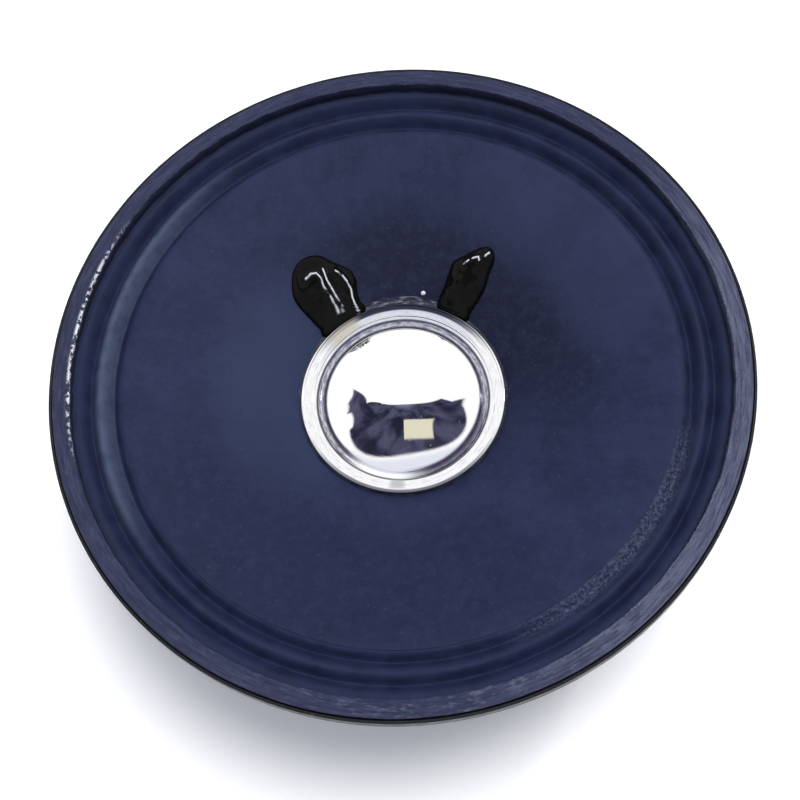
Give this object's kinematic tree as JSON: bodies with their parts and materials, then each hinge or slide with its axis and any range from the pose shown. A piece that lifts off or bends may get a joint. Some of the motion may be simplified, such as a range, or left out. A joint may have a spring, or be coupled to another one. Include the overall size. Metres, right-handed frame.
{
  "type": "loudspeaker driver",
  "caption": "Small round full-range moving-coil driver with a corrugated paper edge, polished metal dust cap, pressed steel basket and ferrite ring magnet.",
  "frame": {"origin": "centre of the back plate's rear face, which is also the middle of the bottom of the part's box", "axes": "+Z is the way the sound leaves, +Y is the side with the solder lugs, +X is to the right seen from the front with the lugs up"},
  "size_m": [0.077, 0.077, 0.033],
  "materials": {
    "zinc_plated_steel": "dull zinc plate with fine turning marks",
    "ferrite": "matt grey-black sintered ferrite, ground faces",
    "black_paint": "glossy black stoved paint on pressed steel",
    "rivet_steel": "plated steel, upset heads",
    "phenolic_board": "brown paper laminate, sawn edges",
    "brass_rivet": "bare brass, lightly tarnished",
    "tinned_brass": "bright tinned sheet",
    "solder": "smooth grey solder fillet",
    "copper_braid": "braided bare copper strands",
    "coil_paper": "brown kraft tube",
    "enamelled_copper": "close turns of enamelled wire",
    "spider_cloth": "resin-stiffened woven cloth",
    "cone_paper": "dark navy pressed paper, soft sheen, faint fibres",
    "surround_paper": "dark navy doped cloth-like edge, soft sheen",
    "gasket_fibre": "blue-black fibre board, rough cut edges",
    "polished_aluminium": "bright polished spun metal",
    "clear_glue": "thin clear cement",
    "black_glue": "wet-looking black rubbery cement"
  },
  "bodies": {
    "frame": {"back_plate": "zinc_plated_steel", "pole_piece": "zinc_plated_steel", "magnet_ring": "ferrite", "top_plate": "zinc_plated_steel", "basket": "black_paint", "frame_rivets": "rivet_steel", "terminal_board": "phenolic_board", "board_rivet": "brass_rivet", "terminal_lug_left": "tinned_brass", "terminal_lug_right": "tinned_brass", "solder_left": "solder", "solder_right": "solder", "braided_lead_left": "copper_braid", "braided_lead_right": "copper_braid", "spider": "spider_cloth", "surround": "surround_paper", "gasket_ring": "gasket_fibre"},
    "cone_assembly": {"voice_coil_former": "coil_paper", "voice_coil_winding": "enamelled_copper", "coil_wire_left": "enamelled_copper", "coil_wire_right": "enamelled_copper", "cone": "cone_paper", "neck_glue": "clear_glue", "dust_cap": "polished_aluminium", "cap_glue": "clear_glue", "lead_dab_left": "black_glue", "lead_dab_right": "black_glue"}
  },
  "joints": [
    {"name": "cone_travel", "type": "slide", "parent": "frame", "child": "cone_assembly", "axis": [0, 0, 1], "range_m": [-0.0015, 0.0015], "stiffness_N_per_m": 1500, "deforming": ["surround", "spider", "braided_lead_left", "braided_lead_right"]}
  ]
}
